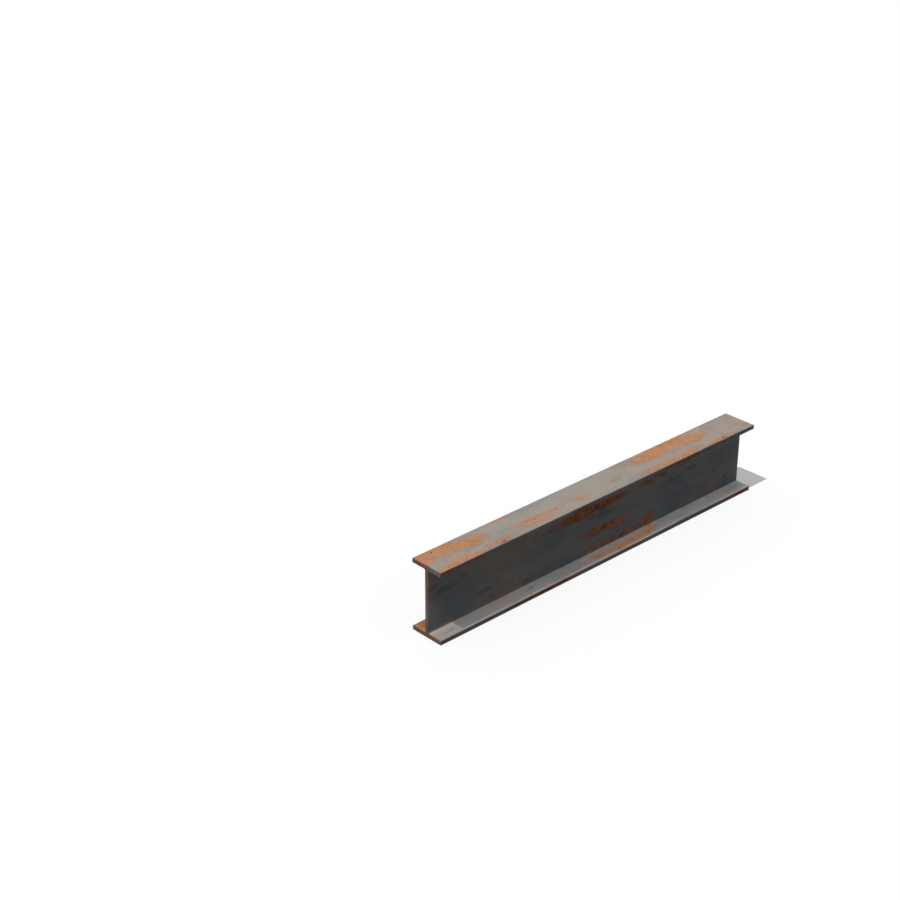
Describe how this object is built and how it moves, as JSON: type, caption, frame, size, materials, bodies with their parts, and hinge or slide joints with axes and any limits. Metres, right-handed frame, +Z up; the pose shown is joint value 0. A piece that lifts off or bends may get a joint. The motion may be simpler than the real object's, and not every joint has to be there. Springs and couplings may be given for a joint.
{
  "type": "steel i-beam",
  "caption": "Straight hot-rolled steel beam of I section with parallel flanges and square sawn ends, in weathered mill finish with rust streaks, for carrying bending loads.",
  "frame": {"origin": "under the middle of the bottom flange, on the face that the beam rests on", "axes": "+X along the beam, +Y across the flanges, +Z up the web from the bottom flange to the top flange"},
  "size_m": [1.735, 0.15, 0.3],
  "materials": {
    "weathered_steel": "matte"
  },
  "bodies": {
    "root": {"i_beam": "weathered_steel"}
  },
  "joints": []
}
